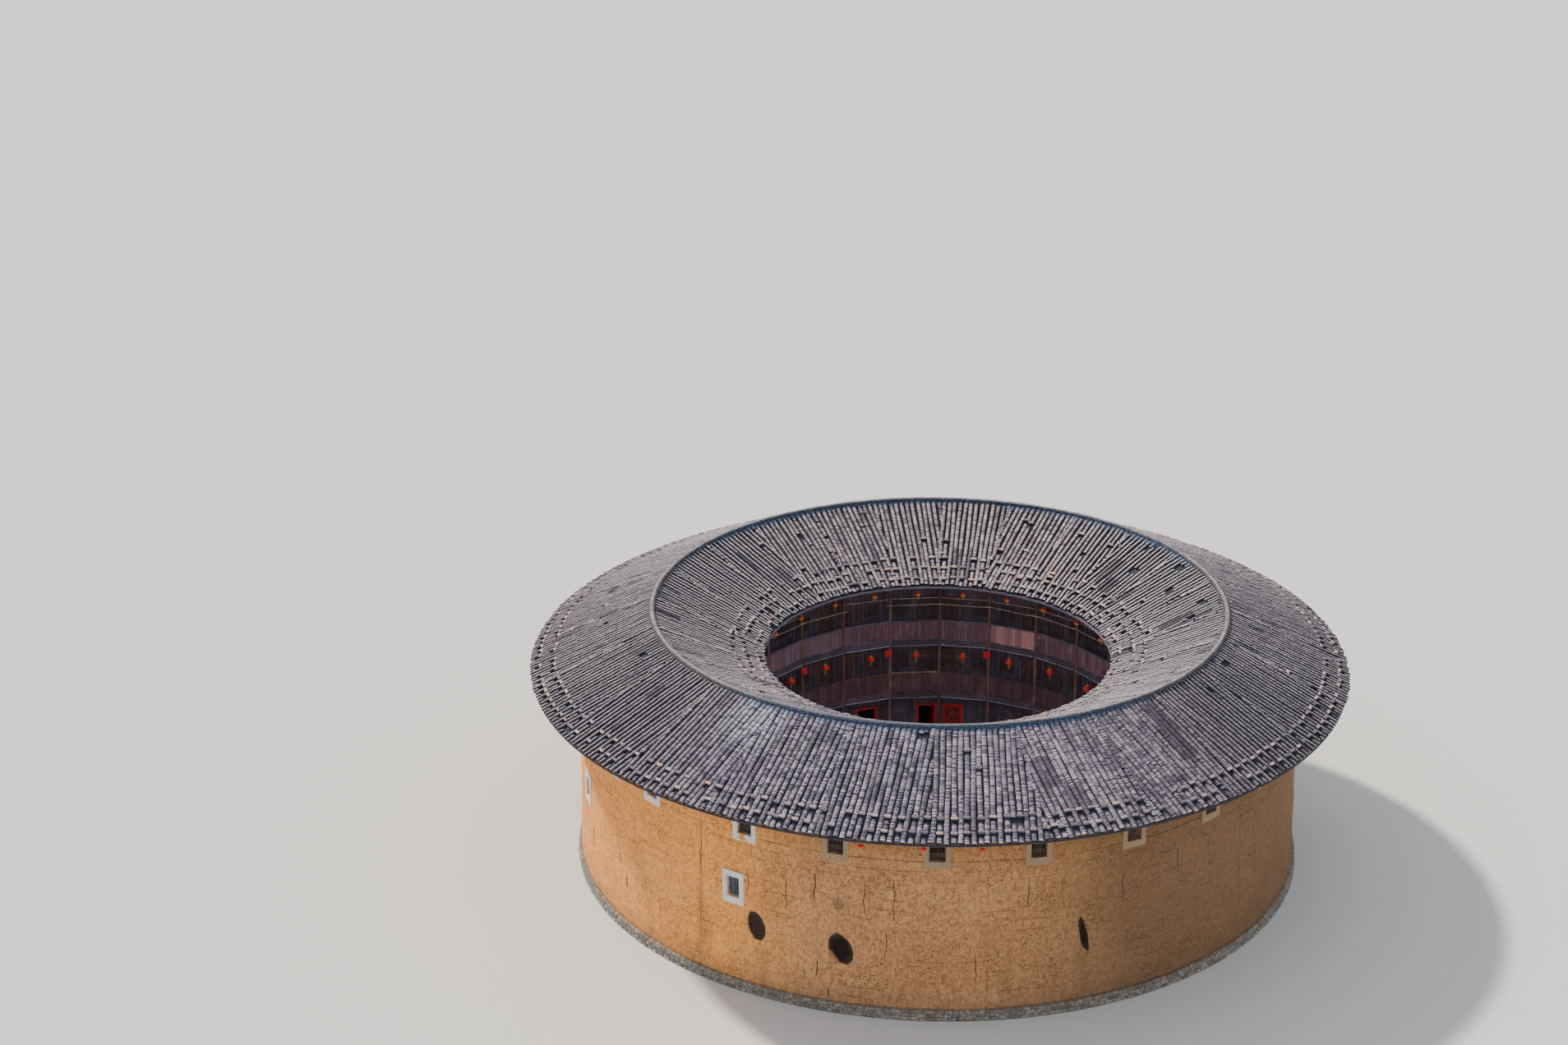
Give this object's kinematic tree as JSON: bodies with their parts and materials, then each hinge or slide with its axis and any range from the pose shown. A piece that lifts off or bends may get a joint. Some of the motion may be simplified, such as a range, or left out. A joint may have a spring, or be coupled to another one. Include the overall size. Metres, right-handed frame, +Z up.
{
  "type": "tulou roundhouse",
  "caption": "Round rammed-earth house of three storeys with a tiled double-pitch roof ring, timber galleries round a courtyard and hinged room doors",
  "frame": {"origin": "on the ground at the centre of the courtyard", "axes": "+Z up, +X to the right and +Y to the back of the pictured view"},
  "size_m": [36, 36, 11.62],
  "materials": {
    "rammed_earth": "matte rammed earth",
    "field_stone": "rough field stone",
    "packed_earth": "matte packed earth",
    "roof_tile": "unglazed weathered clay tile",
    "ridge_tile": "unglazed dark clay tile",
    "dark_timber": "smoke-dark bare timber",
    "gallery_timber": "weathered bare timber",
    "red_timber": "old red paint on timber"
  },
  "bodies": {
    "house": {"stone_footing": "field_stone", "ground_floor": "packed_earth", "second_floor": "dark_timber", "third_floor": "dark_timber", "ridge_cap": "ridge_tile", "left_door_frame": "red_timber", "middle_door_frame": "red_timber", "right_door_frame": "red_timber", "earth_wall_1": "rammed_earth", "earth_wall_2": "rammed_earth", "earth_wall_3": "rammed_earth", "earth_wall_4": "rammed_earth", "earth_wall_5": "rammed_earth", "earth_wall_6": "rammed_earth", "earth_wall_7": "rammed_earth", "earth_wall_8": "rammed_earth", "wall_head_1": "rammed_earth", "wall_head_2": "rammed_earth", "wall_head_3": "rammed_earth", "wall_head_4": "rammed_earth", "wall_head_5": "rammed_earth", "wall_head_6": "rammed_earth", "wall_head_7": "rammed_earth", "wall_head_8": "rammed_earth", "gallery_frame_1": "gallery_timber", "gallery_frame_2": "gallery_timber", "gallery_frame_3": "gallery_timber", "gallery_frame_4": "gallery_timber", "gallery_frame_5": "gallery_timber", "gallery_frame_6": "gallery_timber", "ground_room_front_1": "dark_timber", "ground_room_front_2": "dark_timber", "ground_room_front_3": "dark_timber", "ground_room_front_4": "dark_timber", "second_room_front_1": "dark_timber", "second_room_front_2": "dark_timber", "second_room_front_3": "dark_timber", "second_room_front_4": "dark_timber", "third_room_front_1": "dark_timber", "third_room_front_2": "dark_timber", "third_room_front_3": "dark_timber", "third_room_front_4": "dark_timber", "roof_frame_1": "dark_timber", "roof_frame_2": "dark_timber", "roof_frame_3": "dark_timber", "roof_frame_4": "dark_timber", "outer_roof_1": "roof_tile", "outer_roof_2": "roof_tile", "outer_roof_3": "roof_tile", "outer_roof_4": "roof_tile", "inner_roof_1": "roof_tile", "inner_roof_2": "roof_tile", "inner_roof_3": "roof_tile", "inner_roof_4": "roof_tile"},
    "middle_leaf": {"middle_door_leaf": "red_timber"},
    "right_leaf": {"right_door_leaf": "red_timber"}
  },
  "joints": [
    {"name": "middle_door_hinge", "type": "hinge", "parent": "house", "child": "middle_leaf", "pos_m": [-0.04266, 9.95013, 0.2], "axis": [0, 0, 1], "range_deg": [-15, 80]},
    {"name": "right_door_hinge", "type": "hinge", "parent": "house", "child": "right_leaf", "pos_m": [0.47692, 9.92957, 0.2], "axis": [0, 0, 1], "range_deg": [0, 95]}
  ]
}
